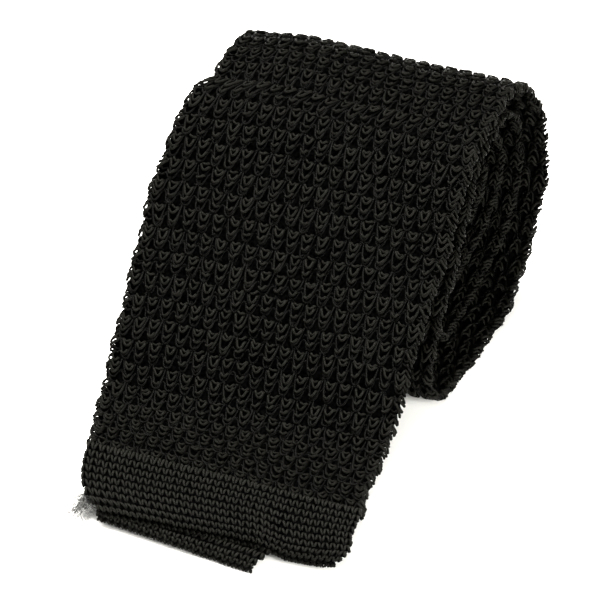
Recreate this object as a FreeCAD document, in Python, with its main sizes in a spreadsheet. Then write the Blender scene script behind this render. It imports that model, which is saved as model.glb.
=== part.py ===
"""Square-ended knitted necktie, folded in half at the neck, rolled up from the fold and laid on a table.

Millimetres, +Z up, table at Z = 0, origin in the middle of the line on which the roll rests. X runs
across the tie, the roll's axis is parallel to X, and the two free ends lie towards -Y, the wide blade
on top of the narrow tail.
Both layers of the tie follow one winding of tangent arcs and lines in the YZ plane. A place on the
winding is given by its depth, which is how far in from the outside of the roll the layer's middle is.
"""
import FreeCAD, Part
import math
import os

doc = FreeCAD.newDocument("necktie")

SIZES = (
    # the tie itself
    ("blade_width", 65.0),          # wide blade, loose mesh knit
    ("band_width", 59.0),           # its hem band is a closer knit, narrower at the very end
    ("band_seam_width", 63.0),
    ("band_length", 18.6),
    ("tail_width", 39.0),
    ("tail_band_length", 20.0),
    ("layer", 1.9),                 # one flattened tube: two walls of knitting
    ("layer_gap", 0.3),
    ("keeper_room", 0.6),           # extra room under the outer turn, where the keeper loop lies
    ("outer_looseness", 1.0),       # extra room between the outer turn and the next one
    ("neck_width", 34.0),
    ("blade_taper", 6.0),           # width lost per turn towards the neck
    ("tail_taper", 1.0),
    ("hem_fold", 0.8),              # thickness of the turned-up part of a hem
    ("stitch_rise", 0.25),          # how far a hem's stitch row stands proud
    ("stitch_length", 1.6),
    # the roll's outline, through the middle of the outer layer
    ("back_y", 27.5),
    ("back_z", 29.8),
    ("back_radius", 21.8),
    ("crown_bulge", 18.2),          # how much larger the crown's radius is than the back's
    ("belly_radius", 77.6),
    ("belly_y", 0.0),
    ("nose_radius", 7.0),
    ("nose_angle", -100.6),
    # the free ends
    ("slope_angle", 41.0),
    ("foot_radius", 20.0),
    ("blade_end_y", -84.5),
    ("swing_radius", 100.0),        # the blade's end bends sideways on the table
    ("swing_start_y", -38.0),
    ("tail_shift", 5.0),            # the tail lies to the right of the roll's middle
    ("tail_corner_x", 20.2),
    ("tail_corner_y", -89.4),
    ("tail_skew", 8.7),
    ("hinge_gap", 0.4),             # cut between two lengths of the same tube
    # small parts
    ("keeper_width", 46.0),
    ("keeper_length", 12.0),
    ("keeper_thickness", 0.4),
    ("thread_diameter", 0.5),
    ("thread_length", 7.0),
    ("thread_root", 5.0),           # how far above the blade's end it comes out
)

sheet = doc.addObject("Spreadsheet::Sheet", "Sizes")
for row, (alias, number) in enumerate(SIZES, start=1):
    sheet.set(f"A{row}", alias)
    sheet.set(f"B{row}", str(number))
    sheet.setAlias(f"B{row}", alias)
doc.recompute()


def size(alias):
    """The number in the sheet's cell of that name."""
    return float(sheet.get(alias))


LAYER = size("layer")
SPACING = LAYER + size("layer_gap")
PITCH = 2 * SPACING
OUTER_PITCH = PITCH + size("keeper_room") + size("outer_looseness")
TURNS = 4
BLADE_DEPTHS = [0.0] + [OUTER_PITCH + turn * PITCH for turn in range(TURNS - 1)]
TAIL_DEPTHS = [SPACING + size("keeper_room")] + [depth + SPACING for depth in BLADE_DEPTHS[1:]]
NOSE_EASE = 0.25        # the nose's radius lost per millimetre of depth
NOSE_RECESSION = 2.1    # degrees that the nose draws back per millimetre of depth
BULGE_END = 18.0        # depth at which the crown is as round as the back
FOLD_ANGLE = -66.0      # where on the belly the neck is folded


def direction(degrees):
    """Unit vector in the YZ plane, as (y, z)."""
    return math.cos(math.radians(degrees)), math.sin(math.radians(degrees))


def shifted(point, degrees, distance):
    """The point moved a distance along a direction."""
    y, z = direction(degrees)
    return point[0] + distance * y, point[1] + distance * z


class Line:
    """A straight stretch of a layer's middle."""

    def __init__(self, start, end):
        self.start = start
        self.end = end

    def angle(self):
        """Direction of travel in degrees."""
        return math.degrees(math.atan2(self.end[1] - self.start[1], self.end[0] - self.start[0]))

    def trimmed(self, cut_start, cut_end):
        """The same stretch, shorter at either end."""
        return Line(shifted(self.start, self.angle(), cut_start), shifted(self.end, self.angle(), -cut_end))

    def at_side(self, side):
        """The stretch moved to the left of travel, which is the roll's outside."""
        left = self.angle() + 90
        return Line(shifted(self.start, left, side), shifted(self.end, left, side))

    def shape(self):
        """The edge, as a sketch holds it."""
        return Part.LineSegment(vector(self.start), vector(self.end))


class Arc:
    """A round stretch of a layer's middle, from one angle about its centre to another."""

    def __init__(self, centre, radius, first, last):
        self.centre = centre
        self.radius = radius
        self.first = first
        self.last = last

    @property
    def start(self):
        return shifted(self.centre, self.first, self.radius)

    @property
    def end(self):
        return shifted(self.centre, self.last, self.radius)

    def trimmed(self, cut_start, cut_end):
        """The same stretch, shorter at either end."""
        turn = math.copysign(math.degrees(1 / self.radius), self.last - self.first)
        return Arc(self.centre, self.radius, self.first + turn * cut_start, self.last - turn * cut_end)

    def at_side(self, side):
        """The stretch moved to the left of travel, which is the roll's outside."""
        outward = side if self.last < self.first else -side
        return Arc(self.centre, self.radius + outward, self.first, self.last)

    def shape(self):
        """The edge, as a sketch holds it."""
        circle = Part.Circle(vector(self.centre), FreeCAD.Vector(0, 0, 1), self.radius)
        low, high = sorted((math.radians(self.first), math.radians(self.last)))
        return Part.ArcOfCircle(circle, low, high)


def vector(point):
    """A sketch point."""
    return FreeCAD.Vector(point[0], point[1], 0)


# ---------------------------------------------------------------- the winding

BACK = (size("back_y"), size("back_z"))


def belly_centre():
    """Centre of the belly's arc, which the back's arc touches from inside."""
    y = size("belly_y")
    reach = size("belly_radius") - size("back_radius")
    return y, BACK[1] + math.sqrt(reach ** 2 - (BACK[0] - y) ** 2)


BELLY = belly_centre()
BACK_END = math.degrees(math.atan2(BACK[1] - BELLY[1], BACK[0] - BELLY[0]))


def crown_circle(depth):
    """Centre and radius of the crown, which meets the back at the top."""
    bulge = size("crown_bulge") * (1 - depth / BULGE_END)
    return (BACK[0], BACK[1] - bulge), size("back_radius") - depth + bulge


def nose_angle(depth):
    """Where the belly ends and the nose begins, about the belly's centre."""
    return size("nose_angle") + NOSE_RECESSION * depth


def nose_circle(depth):
    """Centre and radius of the tight front bend, which touches the belly from inside."""
    radius = size("nose_radius") - NOSE_EASE * depth
    return shifted(BELLY, nose_angle(depth), size("belly_radius") - depth - radius), radius


def tangent_angle(first, second):
    """Direction of travel along the line that touches two circles on the roll's outside."""
    (start, start_radius), (end, end_radius) = first, second
    span_y, span_z = end[0] - start[0], end[1] - start[1]
    lean = math.asin((end_radius - start_radius) / math.hypot(span_y, span_z))
    return math.degrees(math.atan2(span_z, span_y) + lean)


def back_and_belly(depth, belly_end):
    """From the top of the roll over its back and along the table."""
    return [
        Arc(BACK, size("back_radius") - depth, 90, BACK_END),
        Arc(BELLY, size("belly_radius") - depth, BACK_END, belly_end),
    ]


def full_turn(depth, next_depth):
    """Once round, from the top at one depth to the top at the next."""
    nose, crown = nose_circle(depth), crown_circle(next_depth)
    slope = tangent_angle(nose, crown)
    nose_arc = Arc(*nose, nose_angle(depth), slope + 90 - 360)
    crown_arc = Arc(*crown, slope + 90, 90)
    return back_and_belly(depth, nose_angle(depth)) + [nose_arc, Line(nose_arc.end, crown_arc.start), crown_arc]


def free_end(depth, rest_height, end_y):
    """From the end on the table, up the slope and over the crown to the top of the roll."""
    slope = size("slope_angle")
    radius = size("foot_radius") + depth
    centre, crown_radius = crown_circle(depth)
    crown = Arc(centre, crown_radius, slope + 90, 90)
    foot_height = rest_height + radius * (1 - math.cos(math.radians(slope)))
    drop = (crown.start[1] - foot_height) / math.sin(math.radians(slope))
    foot_top = shifted(crown.start, slope, -drop)
    foot_centre = shifted(foot_top, slope + 90, radius)
    foot = Arc(foot_centre, radius, -90, slope - 90)
    flat = Line((end_y, rest_height), foot.start)
    middle = shifted(crown.start, slope, -drop / 2)
    return {"flat": flat, "foot": foot, "low": Line(foot.end, middle), "high": Line(middle, crown.start),
            "crown": crown}


# ---------------------------------------------------------------- building

def new_body(name):
    """A body that carries the sub-part's own name."""
    body = doc.addObject("PartDesign::Body", name)
    body.Label = name
    return body


def plane(body, role):
    """One of the body's own origin planes."""
    return next(feature for feature in body.Origin.OriginFeatures if feature.Role == role)


def new_sketch(body, name, role, shapes):
    """A sketch on an origin plane of its body."""
    sketch = body.newObject("Sketcher::SketchObject", name)
    sketch.AttachmentSupport = [(plane(body, role), "")]
    sketch.MapMode = "FlatFace"
    for shape in shapes:
        sketch.addGeometry(shape, False)
    return sketch


def cross_tie_pad(body, name, shapes, width):
    """A side profile in the YZ plane, made as wide as a cell of the sheet says."""
    pad = body.newObject("PartDesign::Pad", f"{name}_pad")
    pad.Profile = new_sketch(body, f"{name}_profile", "YZ_Plane", shapes)
    pad.Midplane = True
    pad.setExpression("Length", width)
    return pad


def strip_profile(path, outer, inner):
    """Closed profile of a strip that follows a path, between two sides of it."""
    outside = [piece.at_side(outer) for piece in path]
    inside = [piece.at_side(inner) for piece in path]
    ends = [
        Part.LineSegment(vector(outside[-1].end), vector(inside[-1].end)),
        Part.LineSegment(vector(inside[0].start), vector(outside[0].start)),
    ]
    return [piece.shape() for piece in outside + inside] + ends


def shortened(path, cut_start, cut_end):
    """The path with a little cut off either end."""
    path = list(path)
    path[0] = path[0].trimmed(cut_start, 0)
    path[-1] = path[-1].trimmed(0, cut_end)
    return path


def tube_length(name, path, width, shift="0"):
    """One length of the flattened knitted tube."""
    body = new_body(name)
    cross_tie_pad(body, name, strip_profile(path, LAYER / 2, -LAYER / 2), width)
    body.setExpression("Placement.Base.x", shift)
    return body


def swing(y):
    """How far the blade has bent sideways at a place along the table."""
    radius = size("swing_radius")
    along = min(y - size("swing_start_y"), 0)
    return radius - math.sqrt(radius ** 2 - along ** 2)


def swung_outline(near, far, near_width, far_width):
    """Outline of a length of blade that lies on the table, its sides bent the same way."""
    left, right = [
        [
            FreeCAD.Vector(swing(near) + side * near_width / 2, near, 0),
            FreeCAD.Vector(swing((near + far) / 2) + side * (near_width + far_width) / 4, (near + far) / 2, 0),
            FreeCAD.Vector(swing(far) + side * far_width / 2, far, 0),
        ]
        for side in (-1, 1)
    ]
    return [
        Part.Arc(*left),
        Part.LineSegment(left[-1], right[-1]),
        Part.Arc(*right),
        Part.LineSegment(right[0], left[0]),
    ]


def flat_piece(name, outline, thickness, height):
    """A flat piece of cloth with an outline seen from above."""
    body = new_body(name)
    pad = body.newObject("PartDesign::Pad", f"{name}_pad")
    pad.Profile = new_sketch(body, f"{name}_outline", "XY_Plane", outline)
    pad.setExpression("Length", thickness)
    body.setExpression("Placement.Base.z", height)
    return body


def polygon(points):
    """Closed outline through points given as (x, y)."""
    corners = [FreeCAD.Vector(x, y, 0) for x, y in points]
    return [Part.LineSegment(a, b) for a, b in zip(corners, corners[1:] + corners[:1])]


def build_blade(ends):
    """The wide blade: three lengths that lift, then the turns of the roll."""
    cut = size("hinge_gap") / 2
    tube_length("blade_front", shortened([ends["foot"], ends["low"]], cut, cut), "Sizes.blade_width")
    tube_length("blade_crown", shortened([ends["high"], ends["crown"]], cut, cut), "Sizes.blade_width")
    seam = size("blade_end_y") + size("band_length")
    flap_end = ends["flat"].end[0] - cut
    width = size("blade_width")
    flat_piece("blade_flap", swung_outline(flap_end, seam, width, width), "Sizes.layer",
               "Sizes.layer + Sizes.layer_gap")


def build_tail(ends):
    """The narrow tail: three lengths that lift; its end lies askew under the blade."""
    cut = size("hinge_gap") / 2
    tube_length("tail_front", shortened([ends["foot"], ends["low"]], cut, cut), "Sizes.tail_width",
                "Sizes.tail_shift")
    tube_length("tail_crown", shortened([ends["high"], ends["crown"]], cut, cut), "Sizes.tail_width",
                "Sizes.tail_shift")
    near = ends["flat"].end[0] - cut
    seam = tail_edge(size("tail_band_length"))
    half = size("tail_width") / 2
    start = [(size("tail_shift") + half, near), (size("tail_shift") - half, near)]
    flat_piece("tail_flap", polygon(start + seam), "Sizes.layer", "0")


def tail_edge(up):
    """Left and right corners of a line across the tail, a distance up from its end."""
    skew = -size("tail_skew")
    right = (size("tail_corner_x"), size("tail_corner_y"))
    right = shifted(right, skew + 90, up)
    left = shifted(right, skew + 180, size("tail_width"))
    return [left, right]


def build_turns(name, depths, shift):
    """The turns of one layer, from the outside of the roll to the fold at the neck."""
    cut = size("hinge_gap") / 2
    for turn, depth in enumerate(depths):
        if turn + 1 < len(depths):
            path = full_turn(depth, depths[turn + 1])
        else:
            path = back_and_belly(depth, FOLD_ANGLE)
        if turn == 0:
            path = shortened(path, cut, 0)
        width = f"Sizes.{name}_width - {turn} * Sizes.{name}_taper"
        tube_length(f"{name}_turn_{turn + 1}", path, width, shift)


def flatten_underside():
    """Press the outer turn flat where the roll's weight rests on the table."""
    body = doc.getObject("blade_turn_1")
    reach = size("blade_width")
    below = polygon([(-reach, -reach), (reach, -reach), (reach, reach), (-reach, reach)])
    pocket = body.newObject("PartDesign::Pocket", "table_flat")
    pocket.Profile = new_sketch(body, "table_flat_outline", "XY_Plane", below)
    pocket.Reversed = False
    pocket.Type = "ThroughAll"


def build_neck():
    """The fold at the middle of the tie, where the wide half becomes the narrow half."""
    middle = size("belly_radius") - (BLADE_DEPTHS[-1] + TAIL_DEPTHS[-1]) / 2
    centre = shifted(BELLY, FOLD_ANGLE, middle)
    fold = Arc(centre, SPACING / 2, FOLD_ANGLE, FOLD_ANGLE - 180)
    tube_length("neck_fold", [fold], "Sizes.neck_width", "Sizes.tail_shift / 2")


def build_blade_hem():
    """The blade's hem: a band in closer knit, its turned-up part and the row of stitches."""
    far = size("blade_end_y")
    seam = far + size("band_length")
    seam_width = size("band_seam_width")
    band = swung_outline(seam, far, seam_width, size("band_width"))
    row = swung_outline(seam, seam - size("stitch_length"), seam_width, seam_width)
    flat_piece("blade_hem_band", band, "Sizes.layer - Sizes.hem_fold",
               "Sizes.layer + Sizes.layer_gap + Sizes.hem_fold")
    flat_piece("blade_hem_turnup", band, "Sizes.hem_fold", "Sizes.layer + Sizes.layer_gap")
    flat_piece("blade_hem_stitch", row, "Sizes.stitch_rise", "2 * Sizes.layer + Sizes.layer_gap")


def build_tail_hem():
    """The tail's hem, made like the blade's."""
    end = tail_edge(0)
    seam = tail_edge(size("tail_band_length"))
    below_seam = tail_edge(size("tail_band_length") - size("stitch_length"))
    band = polygon(seam + end[::-1])
    flat_piece("tail_hem_band", band, "Sizes.layer - Sizes.hem_fold", "Sizes.hem_fold")
    flat_piece("tail_hem_turnup", band, "Sizes.hem_fold", "0")
    flat_piece("tail_hem_stitch", polygon(seam + below_seam[::-1]), "Sizes.stitch_rise", "Sizes.layer")


def build_keeper():
    """The keeper loop, a flat tape sewn across the back of the blade."""
    top = size("back_radius") - LAYER / 2
    half = math.degrees(size("keeper_length") / 2 / top)
    arc = Arc(BACK, top, half, -half)
    body = new_body("keeper_loop")
    cross_tie_pad(body, "keeper_loop", strip_profile([arc], 0, -size("keeper_thickness")), "Sizes.keeper_width")
    body.setExpression("Placement.Base.x", "Sizes.tail_shift")


def build_thread():
    """The loose end of yarn at the left corner of the blade's hem."""
    root = size("thread_root")
    root_y = size("blade_end_y") + root
    flare = (size("band_seam_width") - size("band_width")) * root / size("band_length")
    edge_x = swing(root_y) - (size("band_width") + flare) / 2
    thread = doc.addObject("Part::Cylinder", "loose_thread")
    thread.Label = "loose_thread"
    thread.setExpression("Radius", "Sizes.thread_diameter / 2")
    thread.setExpression("Height", "Sizes.thread_length")
    thread.Placement = FreeCAD.Placement(
        FreeCAD.Vector(edge_x - size("thread_diameter") / 2, root_y,
                       size("layer") + size("layer_gap") + size("hem_fold")),
        FreeCAD.Rotation(FreeCAD.Vector(0, 0, 1), FreeCAD.Vector(-1, -0.5, -0.1)))


def check_and_write():
    """Stop on any failed object, then write each sub-part."""
    doc.recompute()
    for item in doc.Objects:
        if "Invalid" in item.State or "Error" in item.State:
            raise RuntimeError(f"{item.Name} is {item.State}")
    os.makedirs("parts", exist_ok=True)
    for item in doc.Objects:
        if item.TypeId not in ("PartDesign::Body", "Part::Cylinder"):
            continue
        if item.Shape.isNull() or not item.Shape.isValid():
            raise RuntimeError(f"{item.Label} has no valid shape")
        item.Shape.exportStep(f"parts/{item.Label}.step")


BLADE_ENDS = free_end(BLADE_DEPTHS[0], 1.5 * LAYER + size("layer_gap"), size("blade_end_y"))
TAIL_ENDS = free_end(TAIL_DEPTHS[0], LAYER / 2, size("tail_corner_y"))

build_blade(BLADE_ENDS)
build_tail(TAIL_ENDS)
build_turns("blade", BLADE_DEPTHS, "0")
build_turns("tail", TAIL_DEPTHS, "Sizes.tail_shift")
flatten_underside()
build_neck()
build_blade_hem()
build_tail_hem()
build_keeper()
build_thread()
check_and_write()
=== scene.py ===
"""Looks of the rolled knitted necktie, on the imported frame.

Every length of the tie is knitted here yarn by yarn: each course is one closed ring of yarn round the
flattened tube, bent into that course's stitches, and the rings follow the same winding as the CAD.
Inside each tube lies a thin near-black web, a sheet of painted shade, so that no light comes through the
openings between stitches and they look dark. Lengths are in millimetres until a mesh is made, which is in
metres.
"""
import math
from collections import namedtuple

import bpy
import numpy as np
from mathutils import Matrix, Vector


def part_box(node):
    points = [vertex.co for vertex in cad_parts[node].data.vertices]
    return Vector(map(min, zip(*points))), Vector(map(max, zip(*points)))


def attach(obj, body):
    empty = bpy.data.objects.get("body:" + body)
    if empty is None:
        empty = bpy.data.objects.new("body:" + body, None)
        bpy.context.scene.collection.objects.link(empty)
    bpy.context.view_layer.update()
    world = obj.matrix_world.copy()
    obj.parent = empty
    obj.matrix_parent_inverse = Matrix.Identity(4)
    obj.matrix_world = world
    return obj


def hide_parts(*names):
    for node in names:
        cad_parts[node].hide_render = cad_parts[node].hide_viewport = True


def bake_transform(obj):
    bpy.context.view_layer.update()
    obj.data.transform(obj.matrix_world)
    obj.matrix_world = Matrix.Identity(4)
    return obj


MM = 0.001
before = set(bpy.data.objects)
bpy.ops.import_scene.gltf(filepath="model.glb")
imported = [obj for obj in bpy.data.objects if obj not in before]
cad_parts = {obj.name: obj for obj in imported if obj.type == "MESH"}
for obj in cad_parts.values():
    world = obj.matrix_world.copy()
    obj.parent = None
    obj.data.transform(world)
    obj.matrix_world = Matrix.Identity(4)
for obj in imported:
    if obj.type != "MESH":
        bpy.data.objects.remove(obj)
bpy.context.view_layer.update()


def box_mm(node):
    """Lowest and highest corner of a CAD node, in millimetres."""
    low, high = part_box(node)
    return np.array(low) / MM, np.array(high) / MM


# ---------------------------------------------------------------- sizes

LAYER = 1.9             # one flattened tube
SPACING = 2.2           # from one layer's middle to the next
BLADE_DEPTHS = (0.0, 6.0, 10.4, 14.8)
TAIL_DEPTHS = (2.8, 8.2, 12.6, 17.0)
FOLD_ANGLE = -66.0
BACK = (27.5, 29.8)
BACK_RADIUS = 21.8
CROWN_BULGE = 18.2
BULGE_END = 18.0
BELLY_RADIUS = 77.6
NOSE_RADIUS = 7.0
NOSE_ANGLE = -100.6
NOSE_EASE = 0.25
NOSE_RECESSION = 2.1
SLOPE = 41.0
FOOT_RADIUS = 20.0
SWING_RADIUS = 100.0
SWING_START = -38.0
BAND_LENGTH = 18.6
TAIL_BAND_LENGTH = 20.0
TAIL_SKEW = 8.7
KEEPER_LENGTH = 12.0
RESTING = 0.3            # the lowest that the middle of a yarn or of a fibre is laid
LOOSE_EDGE = 0.3         # how much narrower than the tube its web of painted shade is
POINT_SPACING = 0.25     # between points on the winding
# where the two lower hinges of each half cross it, from the end inwards
BLADE_HINGES_Y = (-50.668, -18.145)
TAIL_HINGES_Y = (-48.92, -14.505)

BELLY_REACH = BELLY_RADIUS - BACK_RADIUS
BELLY = (0.0, BACK[1] + math.sqrt(BELLY_REACH ** 2 - BACK[0] ** 2))
BACK_END = math.degrees(math.atan2(BACK[1] - BELLY[1], BACK[0] - BELLY[0]))
BLADE_END_Y = box_mm("blade_hem_band")[0][1]
BLADE_WIDTH = np.ptp([v[0] for v in box_mm("blade_crown")])
TAIL_WIDTH = np.ptp([v[0] for v in box_mm("tail_crown")])
TAIL_X = sum(v[0] for v in box_mm("tail_crown")) / 2


# ---------------------------------------------------------------- the winding

def spot(centre, angle, radius):
    """Point at an angle and distance from a centre, in the YZ plane."""
    a = math.radians(angle)
    return centre[0] + radius * math.cos(a), centre[1] + radius * math.sin(a)


def arc(centre, radius, first, last):
    """Points along an arc."""
    count = max(4, int(abs(math.radians(last - first)) * radius / POINT_SPACING))
    return [spot(centre, first + (last - first) * i / count, radius) for i in range(count + 1)]


def line(start, end):
    """Points along a straight stretch."""
    count = max(2, int(math.dist(start, end) / POINT_SPACING))
    return [tuple(np.add(start, np.subtract(end, start) * i / count)) for i in range(count + 1)]


def crown_circle(depth):
    """Centre and radius of the roll's crown, at a depth under the outer layer."""
    bulge = CROWN_BULGE * (1 - depth / BULGE_END)
    return (BACK[0], BACK[1] - bulge), BACK_RADIUS - depth + bulge


def back_and_belly(depth, last):
    """Down the roll's back and along its underside, as far as an angle."""
    return arc(BACK, BACK_RADIUS - depth, 90, BACK_END) + arc(BELLY, BELLY_RADIUS - depth, BACK_END, last)


def full_turn(depth, next_depth):
    """Once round the roll, from its top at one depth to its top at the next."""
    nose_angle = NOSE_ANGLE + NOSE_RECESSION * depth
    nose_radius = NOSE_RADIUS - NOSE_EASE * depth
    nose = spot(BELLY, nose_angle, BELLY_RADIUS - depth - nose_radius)
    crown, crown_radius = crown_circle(next_depth)
    gap = (crown[0] - nose[0], crown[1] - nose[1])
    lean = math.asin((crown_radius - nose_radius) / math.hypot(*gap))
    slope = math.degrees(math.atan2(gap[1], gap[0]) + lean)
    nose_arc = arc(nose, nose_radius, nose_angle, slope - 270)
    crown_arc = arc(crown, crown_radius, slope + 90, 90)
    return back_and_belly(depth, nose_angle) + nose_arc + line(nose_arc[-1], crown_arc[0]) + crown_arc


def free_end(depth, height, end_y):
    """From the end on the table, up the slope and over the crown to the top."""
    radius = FOOT_RADIUS + depth
    centre, crown_radius = crown_circle(depth)
    crown = arc(centre, crown_radius, SLOPE + 90, 90)
    foot_height = height + radius * (1 - math.cos(math.radians(SLOPE)))
    drop = (crown[0][1] - foot_height) / math.sin(math.radians(SLOPE))
    foot_top = spot(crown[0], SLOPE, -drop)
    foot = arc(spot(foot_top, SLOPE + 90, radius), radius, -90, SLOPE - 90)
    return line((end_y, height), foot[0]) + foot + line(foot[-1], crown[0]) + crown


class Path:
    """A line in the YZ plane that a layer follows, with the distances along it."""

    def __init__(self, points):
        keep = np.concatenate(([True], np.hypot(*np.diff(points, axis=0).T) > 1e-4))
        self.index = np.cumsum(keep) - 1     # where each point went, as doubled points are left out
        self.points = points[keep]
        self.along = np.concatenate(([0], np.cumsum(np.hypot(*np.diff(self.points, axis=0).T))))
        travel = np.gradient(self.points, self.along, axis=0)
        self.travel = travel / np.hypot(*travel.T)[:, None]
        self.length = float(self.along[-1])

    def at(self, along):
        """Y and Z of points at distances along the path, and the direction of travel there.

        The path goes on straight before its start."""
        y, z, ty, tz = (
            np.interp(along, self.along, column)
            for column in (*self.points.T, *self.travel.T)
        )
        size = np.hypot(ty, tz)
        return y + np.minimum(along, 0), z, ty / size, tz / size


class Winding(Path):
    """The middle line of one layer, from its free end to the neck."""

    def __init__(self, depths, height, end_y):
        lengths = [free_end(depths[0], height, end_y)]
        lengths += [full_turn(a, b) for a, b in zip(depths, depths[1:])]
        lengths.append(back_and_belly(depths[-1], FOLD_ANGLE))
        super().__init__(np.array([point for length in lengths for point in length]))
        counts = np.cumsum([len(length) for length in lengths])
        self.tops = [float(self.along[self.index[count - 1]]) for count in counts[:-1]]

    def where(self, y):
        """Distance along the free end at which it crosses a Y."""
        free = self.along <= self.tops[0]
        return float(np.interp(y, self.points[free, 0], self.along[free]))


TAIL_END_Y = box_mm("tail_hem_band")[0][1] + math.sin(math.radians(TAIL_SKEW)) * TAIL_WIDTH / 2
BLADE = Winding(BLADE_DEPTHS, 1.5 * LAYER + 0.3, BLADE_END_Y)
TAIL = Winding(TAIL_DEPTHS, LAYER / 2, TAIL_END_Y)


def blade_sideways(y):
    """How far the blade's end has bent sideways at a place on the table."""
    along = np.minimum(y - SWING_START, 0)
    return SWING_RADIUS - np.sqrt(SWING_RADIUS ** 2 - along ** 2)


def tail_sideways(y):
    """The same for the tail, which turns the other way under the blade."""
    return np.interp(y, [TAIL_END_Y, TAIL_END_Y + TAIL_BAND_LENGTH, -49.0], [-4.07, -1.05, 0])


def no_sideways(y):
    """The same for a length that doesn't bend sideways."""
    return np.zeros_like(y)


# ---------------------------------------------------------------- knitting

class Tube:
    """A flattened knitted tube that follows a path.

    width, skew and middle_x are (distances along, values): its width, how far a line across it leans,
    and where its middle lies. sideways gives its bend on the table, half is from the layer's middle to
    a wall's middle, and raised is how far it lies to the outside of the path. ripple is the height of
    its small waves. rise lifts or lowers part of it, as (across, values) times (along, values). Its
    end is folded round as far as straight_from, and lines across it don't lean with the fold."""

    def __init__(self, winding, width, skew, middle_x, sideways, half, raised=0.0, ripple=0.0,
                 rise=None, straight_from=0.0):
        self.winding = winding
        self.width = width
        self.skew = skew
        self.middle_x = middle_x
        self.sideways = sideways
        self.half = half
        self.raised = raised
        self.ripple = ripple
        self.rise = rise
        self.straight_from = straight_from

    def place(self, share, along, lift):
        """Points at a share of the way round, a distance along and a lift out of the wall.

        Shares from 0 to 0.5 are the outer wall, left to right, and 0.5 to 1 the inner wall back."""
        half = self.half
        flat = np.interp(along, *self.width) - 2 * half
        bend = math.pi * half
        distance = (share % 1.0) * (2 * flat + 2 * bend) - bend / 2
        x = np.clip(distance, 0, flat) - np.clip(distance - flat - bend, 0, flat)
        turned = np.clip((distance - flat) / bend, 0, 1) + np.clip((distance - 2 * flat - bend) / bend, 0, 1)
        turn = math.pi * (turned + np.minimum(distance / bend, 0))
        across = x - flat / 2 + (half + lift) * np.sin(turn)
        return self.spread(across, along, self.raised + (half + lift) * np.cos(turn))

    def spread(self, across, along, depth):
        """Points at a distance across the tie, along it and to its outside."""
        y, z, ty, tz = self.winding.at(along)
        depth = depth + self.ripple * waves(across / 17, along / 13)
        y = y - tz * depth
        z = z + ty * depth
        if self.rise:
            z = z + np.interp(across, *self.rise[0]) * np.interp(along, *self.rise[1])
        z = np.maximum(z, RESTING)
        across = across * (1 + 0.007 * np.sin(along / 6.1) + 0.006 * np.sin(along / 2.7 + 1))
        lean = np.interp(along, *self.skew) * across
        _, _, ty, tz = self.winding.at(np.maximum(along, self.straight_from))
        x = np.interp(along, *self.middle_x) + across + self.sideways(y)
        return np.stack([x, y - ty * lean, z - tz * lean], axis=-1)


def smooth(share):
    """Eases a share in and out."""
    return share * share * (3 - 2 * share)


def waves(u, v):
    """A smooth uneven surface, from 0 to 1."""
    first = np.sin(u + 1.7 * np.sin(0.6 * v + 0.4)) * np.sin(1.1 * v + 0.8 * u)
    second = np.sin(2.3 * u - 1.3 * v + 2) * np.sin(0.7 * u + 1.9 * v)
    return 0.5 + 0.3 * first + 0.2 * second


def wander(rng, rows, columns, t, amount):
    """A smooth random value along each ring: one draw per stitch column, eased in between."""
    draws = rng.normal(0, amount, (rows, columns))
    cell = np.floor(t).astype(int)
    ease = smooth(t - cell)
    row = np.arange(rows)[:, None]
    return draws[row, cell % columns] * (1 - ease) + draws[row, (cell + 1) % columns] * ease


# a direction that few yarns run along, which keeps a yarn's mesh from twisting
STEADY = np.array((0.31, 0.52, 0.79))


def yarn_mesh(name, centre, radii, sides, painted_shading=None, closed=True):
    """Tubes of yarn along rows of points: centre is (yarns, points, 3), with a radius for each yarn.

    The argument after sides is painted shade: how much of the yarn's colour each point keeps, as if it lay
    out of the light, from 0 deep in the knit to 1 at its front."""
    yarns, count, _ = centre.shape
    if closed:
        ahead = np.roll(centre, -1, axis=1) - np.roll(centre, 1, axis=1)
    else:
        ahead = np.gradient(centre, axis=1)
    ahead /= np.linalg.norm(ahead, axis=2, keepdims=True)
    side = np.cross(ahead, STEADY)
    side /= np.linalg.norm(side, axis=2, keepdims=True)
    other = np.cross(side, ahead)
    angle = 2 * math.pi * np.arange(sides) / sides
    step = np.linalg.norm(np.diff(centre, axis=1, append=centre[:, :1]), axis=2)
    length = np.cumsum(step, axis=1)
    ring = (
        centre[:, :, None]
        + np.reshape(radii, (-1, 1, 1, 1)) * (
            np.cos(angle)[None, None, :, None] * side[:, :, None]
            + np.sin(angle)[None, None, :, None] * other[:, :, None]
        )
    )
    verts = ring.reshape(-1, 3) * MM
    i = np.arange(yarns)[:, None, None] * count * sides
    spans = count if closed else count - 1
    j = np.arange(spans)[None, :, None]
    k = np.arange(sides)[None, None, :]
    nj, nk = (j + 1) % count, (k + 1) % sides
    quads = np.stack([
        i + j * sides + k, i + j * sides + nk, i + nj * sides + nk, i + nj * sides + k,
    ], axis=-1).reshape(-1, 4)
    along_uv = np.broadcast_to(length[:, :spans, None], (yarns, spans, sides))
    step_uv = np.broadcast_to(step[:, :spans, None], (yarns, spans, sides))
    around = np.broadcast_to(k / sides, (yarns, spans, sides))
    u0, u1 = along_uv - step_uv, along_uv
    uv = np.stack([
        np.stack([u0, around], -1), np.stack([u0, around + 1 / sides], -1),
        np.stack([u1, around + 1 / sides], -1), np.stack([u1, around], -1),
    ], axis=-2).reshape(-1, 2)
    obj = make_mesh(name, verts, quads, uv)
    # painted shade, kept on the points so that the yarn's material darkens its colour by it
    shade = obj.data.attributes.new("painted_shading", "FLOAT", "POINT")
    painted_shading = np.ones((yarns, count)) if painted_shading is None else painted_shading
    shade.data.foreach_set("value", np.repeat(painted_shading.ravel(), sides).astype(np.float32))
    return obj


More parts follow.
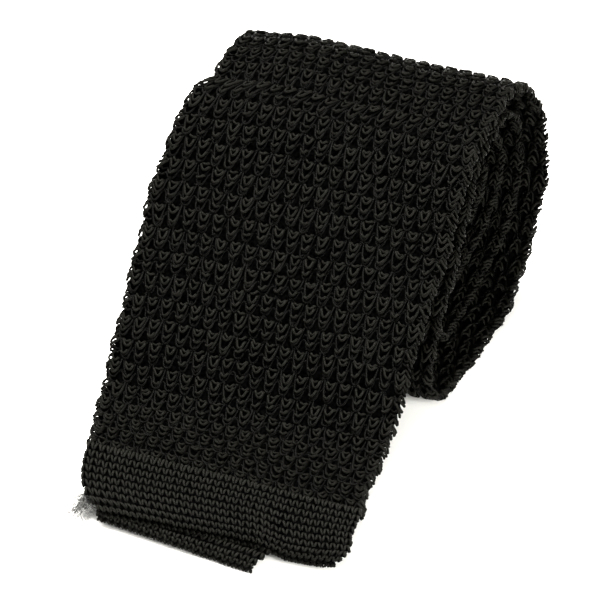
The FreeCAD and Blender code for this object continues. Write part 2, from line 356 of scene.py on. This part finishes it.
def make_mesh(name, verts, quads, uv=None):
    """A smooth-shaded mesh object from arrays of points and quads."""
    mesh = bpy.data.meshes.new(name)
    mesh.vertices.add(len(verts))
    mesh.vertices.foreach_set("co", np.ascontiguousarray(verts, dtype=np.float32).ravel())
    mesh.loops.add(len(quads) * 4)
    mesh.loops.foreach_set("vertex_index", quads.astype(np.int32).ravel())
    mesh.polygons.add(len(quads))
    mesh.polygons.foreach_set("loop_start", np.arange(0, len(quads) * 4, 4, dtype=np.int32))
    mesh.polygons.foreach_set("use_smooth", np.ones(len(quads), dtype=bool))
    mesh.update(calc_edges=True)
    if uv is not None:
        layer = mesh.uv_layers.new(name="yarn")
        layer.data.foreach_set("uv", uv.astype(np.float32).ravel())
    obj = bpy.data.objects.new(name, mesh)
    bpy.context.scene.collection.objects.link(obj)
    return obj


ROW = 5.2                # one row of motifs along the tie
COLUMN = 3.3             # one column of motifs across it, which is two wales
FIRST_ROW = 4.6          # from the hem's seam to the middle of the first row
# One course of a motif. at is where its middle lies in the row, dip how far it dips at the motif and
# rises between motifs, widen and spread how its bottom is widened and its legs spread. front and back
# are its lifts, first and last the angles between which it goes behind, lean is how far its right arm
# rises, and radius is the yarn's. edge_at and edge_lift are its place and lift at the tube's edges,
# where the courses are stacked evenly, in a bump for each row.
Course = namedtuple("Course", "at dip widen spread front back first last lean radius edge_at edge_lift")
COURSES = (
    Course(-0.50, 0.55, 0.05, 0.00, 0.50, -0.66, 55, 105, 0.00, 0.26, -0.30, 0.30),
    Course(-1.20, 1.15, 0.14, 0.00, 0.42, -0.66, 95, 135, 0.00, 0.30, -1.34, 0.55),
    Course(-3.30, 0.78, 0.04, 0.00, 0.42, -0.60, 62, 108, 0.16, 0.28, -3.42, 0.20),
    Course(-1.70, 2.50, 0.10, 0.35, -0.02, -0.30, 60, 160, 0.00, 0.31, -2.38, 0.48),
    Course(-4.10, 1.20, 0.20, 0.10, -0.10, -0.30, 60, 160, 0.00, 0.31, -4.46, 0.05),
)
EDGE_RISE = 0.62         # how far the wales of the edge rise and fall
POINTED = 0.09           # how pointed the stitches are, as a share of their third harmonic
# how uneven each stitch is: mesh first, then the close knit of the hems
MESH_UNEVEN = {"along": 0.15, "across": 0.15, "lift": 0.10, "dip": 0.20, "lean": 0.18}
HEM_UNEVEN = {"along": 0.08, "across": 0.05, "lift": 0.04}


def uneven(rng, rows, columns, t, amounts):
    """A wandering value along each ring for every name in amounts."""
    return {key: wander(rng, rows, columns, t, amount) for key, amount in amounts.items()}


def ring_samples(columns, fine, coarse, edge=None):
    """Places round a ring, in columns: fine on the outer wall, or only near the edges, else coarse."""
    half = columns // 2
    places = []
    for column in range(columns):
        if edge is None:
            shown = column < half + 2 or column >= columns - 2
        else:
            shown = min(column % half, half - 1 - column % half) < edge
        count = fine if shown else coarse
        places.append(column + np.arange(count) / count)
    return np.concatenate(places)


def mesh_knit(name, tube, columns, rows, offset, samples, sides, relief, seed):
    """The loose mesh knit, one closed ring of yarn for each course of each row of motifs."""
    rng = np.random.default_rng(seed)
    shift = 0.5 * (rows % 2)[:, None]
    t = np.tile(samples, (len(rows), 1))
    angle = 2 * math.pi * (t - shift)
    turned = np.degrees(np.arccos(np.clip(np.cos(angle), -1, 1)))
    dipped = np.cos(angle) + POINTED * np.cos(3 * angle)
    # free is 0 at the tube's two edges and 1 from about a column inside them
    edge = np.abs(((t / columns * 2 + 0.5) % 1.0) - 0.5) * columns / 2
    free = smooth(np.clip(edge - 0.05, 0, 1))
    row_start = offset + rows[:, None] * ROW
    drift = 1.1 * waves(t / columns * 14, row_start / 11) - 0.55
    rings, painted_shading = [], []
    for course in COURSES:
        vary = uneven(rng, len(rows), columns, t - shift, MESH_UNEVEN)
        along = (
            row_start + course.at * free + course.edge_at * (1 - free) + vary["along"] + drift
            - course.dip * (free + vary["dip"] * free) * dipped
            - EDGE_RISE * (1 - free) * np.cos(2 * angle)
            + (course.lean + vary["lean"]) * np.sin(angle) * free
        )
        bulge = course.spread * np.sin(angle) + course.widen * np.sin(2 * angle) + vary["across"]
        behind = smooth(np.clip((turned - course.first) / (course.last - course.first), 0, 1))
        inside = course.front + (course.back - course.front) * behind + vary["lift"]
        lift = course.edge_lift * (1 - free) + inside * free
        rings.append(tube.place((t + bulge / COLUMN) / columns, along, relief * lift))
        # painted shade: the yarn's colour is darkened the further back in the knit it lies
        painted_shading.append(smooth(np.clip((lift + 0.20) / 0.68, 0, 1)))
    radii = np.repeat([course.radius for course in COURSES], len(rows))
    return yarn_mesh(name, np.concatenate(rings), radii, sides, np.concatenate(painted_shading))


def jersey(name, tube, wales, places, pitch, samples, sides, radius, seed, rise=0.42, relief=0.26):
    """The close knit of a hem: rows of plain stitches, which show as slanting legs.

    places are the rows' distances along the tube, and pitch the height of each row. A stitch rises by
    a share of the pitch, rise, and its legs stand proud by relief."""
    rng = np.random.default_rng(seed)
    courses = len(places)
    height = (rise * np.broadcast_to(pitch, courses))[:, None]
    t = np.tile(samples, (courses, 1))
    angle = 2 * math.pi * t
    vary = uneven(rng, courses, wales, t, HEM_UNEVEN)
    drift = 0.5 * waves(t / wales * 9, np.arange(courses)[:, None] / 4.0) - 0.25
    rows_at = np.array(places)[:, None] + drift
    along = rows_at - height * (np.cos(angle) + 0.06 * np.cos(3 * angle)) + vary["along"]
    share = (t + 0.02 * np.sin(2 * angle) + vary["across"]) / wales
    lift = -relief * np.cos(2 * angle) + vary["lift"]
    # painted shade: the colour is darkened where a stitch lies back, and full where its legs stand proud
    painted_shading = 0.08 + 0.92 * smooth(np.clip(0.5 - 0.6 * np.cos(2 * angle), 0, 1))
    return yarn_mesh(name, tube.place(share, along, lift), np.full(courses, radius), sides, painted_shading)


def web(name, tube, first, last, thick, narrower):
    """A thin flattened tube in the middle of a layer: the near-black web of painted shade inside a length of
    knit, or the keeper's tape.
    """
    count = max(3, int((last - first) / 1.5))
    share = np.linspace(-0.5, 0.5, 14)[None, :]
    along = np.repeat(np.linspace(first, last, count)[:, None], share.size, axis=1)
    across = share * (np.interp(along, *tube.width) - narrower)
    swell = thick / 2 * np.sqrt(np.clip(1 - (2 * share) ** 6, 0.05, 1))
    upper = tube.spread(across, along, tube.raised + swell)
    lower = tube.spread(across[:, ::-1], along, tube.raised - swell[:, ::-1])
    ring = np.concatenate([upper, lower], axis=1)
    n = ring.shape[1]
    start = np.arange(count - 1)[:, None] * n
    j = np.arange(n)[None, :]
    ahead = (j + 1) % n
    sides = np.stack([start + j, start + ahead, start + n + ahead, start + n + j], -1).reshape(-1, 4)
    k = np.arange(n // 2 - 1)
    near = np.stack([n - 1 - k, n - 2 - k, k + 1, k], -1)
    far = near[:, ::-1] + (count - 1) * n
    return make_mesh(name, ring.reshape(-1, 3) * MM, np.concatenate([sides, near, far]))


# ---------------------------------------------------------------- looks

def yarn_material(name, colour, roughness, specular):
    """Spun yarn: plies wound round each other, with painted shade: its colour is darker where it goes behind
    the stitches in front.
    """
    material = bpy.data.materials.new(name)
    material.use_nodes = True
    nodes, links = material.node_tree.nodes, material.node_tree.links
    shader = nodes["Principled BSDF"]
    shader.inputs["Roughness"].default_value = roughness
    shader.inputs["Specular IOR Level"].default_value = specular
    place = nodes.new("ShaderNodeTexCoord")
    noise = nodes.new("ShaderNodeTexNoise")
    noise.inputs["Scale"].default_value = 900
    noise.inputs["Detail"].default_value = 3
    links.new(place.outputs["Object"], noise.inputs["Vector"])
    ramp = nodes.new("ShaderNodeValToRGB")
    ramp.color_ramp.elements[0].position = 0.3
    ramp.color_ramp.elements[0].color = (*[c * 0.7 for c in colour], 1)
    ramp.color_ramp.elements[1].position = 0.75
    ramp.color_ramp.elements[1].color = (*[c * 1.5 for c in colour], 1)
    links.new(noise.outputs["Fac"], ramp.inputs["Fac"])
    # Painted shade: the colour is scaled from 3% where the yarn lies deep in the knit to full at the
    # stitches' fronts, read from a point attribute.
    painted_shading = nodes.new("ShaderNodeAttribute")
    painted_shading.attribute_name = "painted_shading"
    depth = nodes.new("ShaderNodeMapRange")
    depth.inputs["To Min"].default_value = 0.03
    links.new(painted_shading.outputs["Fac"], depth.inputs["Value"])
    mix = nodes.new("ShaderNodeVectorMath")
    mix.operation = "SCALE"
    links.new(ramp.outputs["Color"], mix.inputs[0])
    links.new(depth.outputs["Result"], mix.inputs["Scale"])
    links.new(mix.outputs["Vector"], shader.inputs["Base Color"])
    uv = nodes.new("ShaderNodeUVMap")
    uv.uv_map = "yarn"
    turn = nodes.new("ShaderNodeMapping")
    turn.inputs["Scale"].default_value = (1.6, 3.0, 1)
    wave = nodes.new("ShaderNodeTexWave")
    wave.wave_type = "BANDS"
    wave.bands_direction = "DIAGONAL"
    wave.inputs["Scale"].default_value = 1.0
    wave.inputs["Distortion"].default_value = 1.5
    wave.inputs["Detail"].default_value = 2
    links.new(uv.outputs["UV"], turn.inputs["Vector"])
    links.new(turn.outputs["Vector"], wave.inputs["Vector"])
    lump = nodes.new("ShaderNodeBump")
    lump.inputs["Strength"].default_value = 0.5
    lump.inputs["Distance"].default_value = 0.0001
    links.new(wave.outputs["Fac"], lump.inputs["Height"])
    links.new(lump.outputs["Normal"], shader.inputs["Normal"])
    return material


def fibre_material(name, colour):
    """Matt fibre, a little uneven in colour: the keeper's tape and the frayed yarn, and the near-black web of
    painted shade inside the knit.
    """
    material = bpy.data.materials.new(name)
    material.use_nodes = True
    nodes, links = material.node_tree.nodes, material.node_tree.links
    shader = nodes["Principled BSDF"]
    shader.inputs["Roughness"].default_value = 0.95
    shader.inputs["Specular IOR Level"].default_value = 0.0
    place = nodes.new("ShaderNodeTexCoord")
    noise = nodes.new("ShaderNodeTexNoise")
    noise.inputs["Scale"].default_value = 1400
    links.new(place.outputs["Object"], noise.inputs["Vector"])
    ramp = nodes.new("ShaderNodeValToRGB")
    ramp.color_ramp.elements[0].position = 0.4
    ramp.color_ramp.elements[0].color = (*[c * 0.3 for c in colour], 1)
    ramp.color_ramp.elements[1].position = 0.62
    ramp.color_ramp.elements[1].color = (*[c * 2.2 for c in colour], 1)
    links.new(noise.outputs["Fac"], ramp.inputs["Fac"])
    links.new(ramp.outputs["Color"], shader.inputs["Base Color"])
    return material


BLACK_YARN = yarn_material("black_yarn", (0.0038, 0.0037, 0.0031), roughness=0.42, specular=0.026)
# the hem's yarn is the mesh's black yarn painted lighter: painted light for the light that its close, flat
# rows catch
HEM_YARN_PAINTED_LIGHTER = yarn_material("hem_yarn_painted_lighter", (0.0062, 0.0061, 0.0052), roughness=0.45, specular=0.025)
# a near-black web of painted shade inside each tube, for the dark seen through the openings between stitches
SHADE_WEB = fibre_material("shade_web", (0.0004, 0.0004, 0.0004))
TAPE = fibre_material("tape", (0.004, 0.004, 0.0042))
FUZZ = fibre_material("fuzz", (0.10, 0.10, 0.10))


# ---------------------------------------------------------------- pieces

def dress(obj, material):
    """Gives a piece its material."""
    obj.data.materials.clear()
    obj.data.materials.append(material)
    return obj


def carry(obj, how):
    """how is a body's name, to which the piece is attached; anything else, such as two bodies and the points
    between which the piece would bend, is not used, and the piece's place is baked into its mesh.
    """
    if isinstance(how, str):
        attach(obj, how)
    else:
        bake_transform(obj)


def at_point(winding, along):
    """A point in the middle of a layer, in metres."""
    y, z, _, _ = winding.at(along)
    return (0, float(y) * MM, float(z) * MM)


def bend(winding, still, moving, hinge, before, after):
    """Two bodies, and points from before the hinge to after it along the tie, between which fabric would
    bend.
    """
    return still, moving, at_point(winding, hinge + before), at_point(winding, hinge - after)


def knitted_length(name, tube, columns, offset, first, last, fineness, how, nodes, seed,
                   open_edge=LOOSE_EDGE):
    """One length of the mesh tube: its yarns and the web of painted shade between its walls.

    fineness is the places round a ring, the sides of a yarn and the relief of the stitches."""
    low = math.ceil((first - offset) / ROW)
    high = math.ceil((last - offset) / ROW)
    knit = mesh_knit(name + "_knit", tube, columns, np.arange(low, high), offset, *fineness, seed)
    dress(knit, BLACK_YARN)
    carry(knit, how)
    shade_web = dress(web(name + "_ground", tube, first, last, 0.5, open_edge), SHADE_WEB)
    carry(shade_web, how)
    if nodes:
        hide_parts(*nodes)


def turn_lengths(label, tube, columns, offset, turn, start, end, fineness, longest, seed):
    """A whole turn of the roll, in a few lengths that don't move."""
    cuts = np.linspace(start, end, max(1, round((end - start) / longest)) + 1)
    for part, (first, last) in enumerate(zip(cuts, cuts[1:]), start=1):
        nodes = [f"{label}_turn_{turn}"] if part == 1 else []
        knitted_length(f"{label}_turn_{turn}_{part}", tube, columns, offset, first, last, fineness,
                       "roll", nodes, seed + part)


def build_half(label, tube, columns, seam, hinges, fine, inner, seed, at_neck=()):
    """One half of the tie: three lengths from the end up to the top of the crown, then the turns of the roll.
    """
    winding = tube.winding
    foot, middle, top = hinges
    offset = seam + FIRST_ROW
    front, crown = (foot + middle) / 2, (middle + top) / 2
    knitted_length(label + "_foot", tube, columns, offset, seam, front, fine,
                   bend(winding, label + "_front_length", label + "_end", foot, 12, 7),
                   [label + "_flap"], seed, open_edge=1.0)
    knitted_length(label + "_slope", tube, columns, offset, front, crown, fine,
                   bend(winding, label + "_crown_length", label + "_front_length", middle, 12, 12),
                   [label + "_front"], seed + 1)
    knitted_length(label + "_crown", tube, columns, offset, crown, top, fine,
                   bend(winding, "roll", label + "_crown_length", top, 0, 18),
                   [label + "_crown"], seed + 2)
    ends = winding.tops[1:] + [winding.length]
    start = top
    for turn, end in enumerate(ends, start=1):
        outermost = turn == 1 and label == "blade"
        turn_lengths(label, tube, columns, offset, turn, start, end, fine if outermost else inner,
                     26 if outermost else 62, seed + 10 * turn)
        start = end


BLADE_COLUMNS, TAIL_COLUMNS = 40, 24
SLOPE_MIDDLE = BLADE.where(-5.0)
BLADE_TOP = BLADE.tops[0]
# distances along the blade: down the slope, at its middle and up it, then over the crown to the back
SLOPE_PLACES = (SLOPE_MIDDLE - 22, SLOPE_MIDDLE, SLOPE_MIDDLE + 22)
CROWN_PLACES = (BLADE_TOP - 12, BLADE_TOP + 20, BLADE_TOP + 40, BLADE_TOP + 75)
WIDER = (-1.8, 1.9, 2.9, 1.4, -2.2, -1.6, 0.6, 3.0, -3.0, -9.0, -15.0)
# the crown stands fuller at its left: how much at places across the blade, and where along it
FULLER_CROWN = (
    ([-32, -26, -19, -8, 4, 32], [0, 0.5, 1.9, 1.7, 0.8, 0.3]),
    ([BLADE_TOP - 28, BLADE_TOP - 6, BLADE_TOP + 8, BLADE_TOP + 28], [0, 1, 1, 0]),
)
blade_tube = Tube(
    BLADE,
    width=([BAND_LENGTH, *SLOPE_PLACES, *CROWN_PLACES, *BLADE.tops[1:]], BLADE_WIDTH + np.array(WIDER)),
    skew=([0, BAND_LENGTH, 60], [-0.02, 0.055, 0]),
    middle_x=([8, BAND_LENGTH, *SLOPE_PLACES, *CROWN_PLACES, BLADE.tops[1]],
              [-0.5, 0.9, -1.1, -1.5, -0.8, 1.0, 0.9, 1.2, 1.5, 0.0]),
    sideways=blade_sideways, half=0.42, ripple=0.35, rise=FULLER_CROWN)
tail_tube = Tube(
    TAIL,
    width=([0, TAIL.tops[0], TAIL.tops[3]], [TAIL_WIDTH - 0.8, TAIL_WIDTH, TAIL_WIDTH - 3]),
    skew=([0, TAIL_BAND_LENGTH, 45], [0.153, 0.153, 0]),
    middle_x=([0, TAIL_BAND_LENGTH + 15], [TAIL_X + 1.6, TAIL_X]),
    sideways=tail_sideways, half=0.42)


def straight_tube(node, points, narrower, half):
    """A tube of one width along some points, as wide as a CAD node and in the middle of it."""
    low, high = box_mm(node)
    return Tube(Path(np.array(points)), ([0, 1], [high[0] - low[0] - narrower] * 2), ([0, 1], [0, 0]),
                ([0, 1], [(low[0] + high[0]) / 2] * 2), no_sideways, half)


def neck():
    """The fold at the middle of the tie."""
    centre = spot(BELLY, FOLD_ANGLE, BELLY_RADIUS - (BLADE_DEPTHS[-1] + TAIL_DEPTHS[-1]) / 2)
    points = arc(centre, SPACING / 2, FOLD_ANGLE, FOLD_ANGLE - 180)
    tube = straight_tube("neck_fold", points, narrower=1.5, half=0.30)
    length = tube.winding.length
    wales = 20
    fold = jersey("neck_fold_knit", tube, wales, [0.5, 0.5 + length / 2], length / 2,
                  ring_samples(wales, 6, 6), 4, 0.30, 340)
    dress(fold, BLACK_YARN)
    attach(fold, "roll")
    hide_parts("neck_fold")
    shade_web = dress(web("neck_fold_ground", tube, 0, length, 0.4, 1.0), SHADE_WEB)
    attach(shade_web, "roll")
    return [fold, shade_web]


build_half("blade", blade_tube, BLADE_COLUMNS, BAND_LENGTH,
           (*map(BLADE.where, BLADE_HINGES_Y), BLADE.tops[0]),
           (ring_samples(BLADE_COLUMNS, 12, 6), 6, 1.0), (ring_samples(BLADE_COLUMNS, 10, 4, 4), 4, 0.7), 100,
           neck())
build_half("tail", tail_tube, TAIL_COLUMNS, TAIL_BAND_LENGTH,
           (*map(TAIL.where, TAIL_HINGES_Y), TAIL.tops[0]),
           (ring_samples(TAIL_COLUMNS, 8, 5), 5, 0.7), (ring_samples(TAIL_COLUMNS, 9, 4, 4), 4, 0.7), 200)


ROLLED = (-120, -270)    # the angles between which a hem's end is rolled under


def rolled_end(winding, middle, roll, further):
    """The path of a hem that is turned under: round the end, then along the top."""
    start = winding.points[0, 0] + roll - further
    round_end = arc((start, middle), roll, *ROLLED)
    back = [(y, z + middle - winding.points[0, 1] + roll) for y, z in winding.points[1:160] if y > start]
    return Path(np.array(round_end + back))


def hem_piece(obj, material, body, node=None):
    """A piece of a hem, which moves with its end of the tie and may stand for a CAD node."""
    dress(obj, material)
    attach(obj, body)
    if node:
        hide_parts(node)
    return obj


def hem(label, tube, widths, rounding, length, wales, courses, middle, roll, further, rise, seed):
    """A hem: the band in close knit, its turned-up part underneath and the row that joins the mesh.

    widths are at the end and at the seam, and rounding is how much the end's corners are rounded. The
    end is rolled round a line at the height middle, with the radius roll, and lies further out."""
    body = label + "_end"
    path = rolled_end(tube.winding, middle, roll, further)
    around = math.radians(ROLLED[0] - ROLLED[1]) * roll
    last = length + around
    near, far = widths
    pitch = (length - 0.3) / (courses - 0.5)
    rows = 0.3 + np.arange(courses) * pitch

    turned = max(2, round(around))
    places = np.concatenate([0.3 + np.arange(turned) * around / turned, around + 0.3 + rows])
    heights = np.concatenate([np.full(turned, 0.34 * pitch), [0.75 * pitch], np.full(courses - 1, pitch)])
    width = ([0, 2, 4.5, 8, 12, last], np.append(near - rounding * np.array([11, 7, 3, 1, 0]), far))
    skew = (np.array(tube.skew[0]) + around, tube.skew[1])
    middle_x = (np.array(tube.middle_x[0]) + around, tube.middle_x[1])
    band_tube = Tube(path, width, skew, middle_x, tube.sideways, half=0.22, raised=-0.1, ripple=0.3,
                     rise=rise, straight_from=around)
    ring = ring_samples(wales, 10, 5)
    band = jersey(label + "_hem_knit", band_tube, wales, places, heights, ring, 5, 0.30, seed)
    hem_piece(band, HEM_YARN_PAINTED_LIGHTER, body, label + "_hem_band")
    shade_web = web(label + "_hem_ground", band_tube, 0, last, 0.5, 0.9)
    hem_piece(shade_web, SHADE_WEB, body)

    under_width = ([0, 3, 8, length], np.append(near - 1.5 - rounding * np.array([10, 4, 1]), far - 1.5))
    under_tube = Tube(tube.winding, under_width, tube.skew, tube.middle_x, tube.sideways, half=0.10,
                      raised=middle - tube.winding.points[0, 1] - roll + 0.1)
    under = jersey(label + "_turnup_knit", under_tube, wales, 1.3 + rows[:-1], pitch,
                   ring_samples(wales, 4, 7), 4, 0.24, seed + 1, relief=0.1)
    hem_piece(under, HEM_YARN_PAINTED_LIGHTER, body, label + "_hem_turnup")
    shade_web = web(label + "_turnup_ground", under_tube, 0.6, length, 0.3, 1.0)
    hem_piece(shade_web, SHADE_WEB, body)

    seam = jersey(label + "_seam_stitches", band_tube, wales, [last - 0.3], pitch, ring, 5, 0.30,
                  seed + 2, rise=0.3, relief=0.2)
    hem_piece(seam, HEM_YARN_PAINTED_LIGHTER, body, label + "_hem_stitch")


# the blade's hem droops to the right of its middle, most near its end
DROOP = (([9, 15, 22, 27, 32], [0, -1.7, -1.6, -0.8, -0.4]), ([0, 6, 20], [1, 1, 0]))
hem("blade", blade_tube, widths=(61.6, 63.2), rounding=1.0, length=BAND_LENGTH, wales=74, courses=8,
    middle=3.5, roll=0.95, further=0.4, rise=DROOP, seed=300)
hem("tail", tail_tube, widths=(39.8, 38.6), rounding=0.3, length=TAIL_BAND_LENGTH, wales=44, courses=9,
    middle=1.35, roll=0.65, further=1.5, rise=None, seed=320)


def keeper():
    """The keeper loop: a flat woven tape across the back of the blade."""
    radius = BACK_RADIUS - LAYER / 2
    half_angle = math.degrees(KEEPER_LENGTH / 2 / radius)
    points = arc(BACK, radius - 0.2, half_angle, -half_angle)
    tube = straight_tube("keeper_loop", points, narrower=0, half=0.2)
    tape = web("keeper_tape", tube, 0, tube.winding.length, 0.4, 0.0)
    dress(tape, TAPE)
    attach(tape, "roll")
    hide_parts("keeper_loop")


def tuft():
    """The loose end of yarn at the hem's left corner, frayed into its fibres."""
    rng = np.random.default_rng(7)
    low, high = box_mm("loose_thread")
    root = np.array([high[0] + 1.9, high[1] - 0.8, (low[2] + high[2]) / 2])
    fibres, points = 200, 10
    share = np.linspace(0, 1, points)[None, :]
    reach = rng.uniform(2.4, 5.0, (fibres, 1))
    heading = rng.normal(0.5, 0.5, (fibres, 1))
    curl = rng.normal(0, 1.2, (fibres, 1))
    start = rng.normal(0, 1, (fibres, 3)) * (0.4, 2.3, 0.4)
    angle = heading + curl * share
    x = root[0] + start[:, :1] - reach * share * np.cos(angle) * 0.9
    y = root[1] + start[:, 1:2] - reach * share * np.sin(angle) - 1.2 * share
    z = root[2] + start[:, 2:] - 1.2 * share ** 2 + rng.normal(0, 0.5, (fibres, 1)) * share
    centre = np.stack([x, y, np.maximum(z, RESTING)], axis=-1)
    frayed = yarn_mesh("frayed_yarn", centre, np.full(fibres, 0.05), 4, closed=False)
    dress(frayed, FUZZ)
    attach(frayed, "blade_end")
    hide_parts("loose_thread")


keeper()
tuft()


# ---------------------------------------------------------------- studio

TABLE_HALF = 3.0         # metres
TABLE_TOP = -0.0002      # metres, just under the lowest yarn
# name, place in metres, size in metres and power in watts
LIGHTS = (
    ("key_light", (-0.45, 0.25, 1.0), 0.8, 60),
    ("fill_light", (0.35, -0.9, 0.9), 0.6, 7),
    ("side_light", (1.2, -0.5, 0.35), 0.7, 60),
)
AZIMUTH = math.radians(21.6725)
ELEVATION = math.radians(31.4647)
LENS = 528.7
DISTANCE = 1906.4


def stage():
    """A pale table and soft light from above, in front and the right."""
    mesh = bpy.data.meshes.new("table")
    corners = [(x * TABLE_HALF, y * TABLE_HALF, 0) for x, y in ((-1, -1), (1, -1), (1, 1), (-1, 1))]
    mesh.from_pydata(corners, [], [(0, 1, 2, 3)])
    table = bpy.data.objects.new("table", mesh)
    bpy.context.scene.collection.objects.link(table)
    table.location.z = TABLE_TOP
    material = bpy.data.materials.new("table_paper")
    material.use_nodes = True
    shader = material.node_tree.nodes["Principled BSDF"]
    shader.inputs["Base Color"].default_value = (0.9, 0.9, 0.9, 1)
    shader.inputs["Roughness"].default_value = 0.9
    mesh.materials.append(material)

    world = bpy.data.worlds.new("studio")
    world.use_nodes = True
    world.node_tree.nodes["Background"].inputs["Color"].default_value = (1, 1, 1, 1)
    world.node_tree.nodes["Background"].inputs["Strength"].default_value = 0.25
    bpy.context.scene.world = world

    for label, position, size, power in LIGHTS:
        lamp = bpy.data.lights.new(label, "AREA")
        lamp.size = size
        lamp.energy = power
        lamp.color = (1.0, 0.985, 0.93)
        light = bpy.data.objects.new(label, lamp)
        light.location = position
        light.rotation_euler = (-Vector(position)).to_track_quat("-Z", "Y").to_euler()
        bpy.context.scene.collection.objects.link(light)


def camera():
    """The view: from the front, a little to the right of it, looking down."""
    back = Vector((
        math.sin(AZIMUTH) * math.cos(ELEVATION),
        -math.cos(AZIMUTH) * math.cos(ELEVATION),
        math.sin(ELEVATION),
    ))
    right = Vector((math.cos(AZIMUTH), math.sin(AZIMUTH), 0))
    up = back.cross(right)
    # from a point inside the roll, to the left and down to the middle of the picture
    aim = Vector((6.5, 22.417, 27.083)) - 18.28 * right - 24.26 * up
    lens = bpy.data.cameras.new("camera")
    lens.sensor_width = 36
    lens.lens = LENS
    lens.clip_end = 10
    view = bpy.data.objects.new("camera", lens)
    view.location = (aim + DISTANCE * back) * MM
    view.rotation_euler = back.to_track_quat("Z", "Y").to_euler()
    bpy.context.scene.collection.objects.link(view)
    bpy.context.scene.camera = view


stage()
camera()
bpy.context.scene.view_settings.view_transform = "Standard"
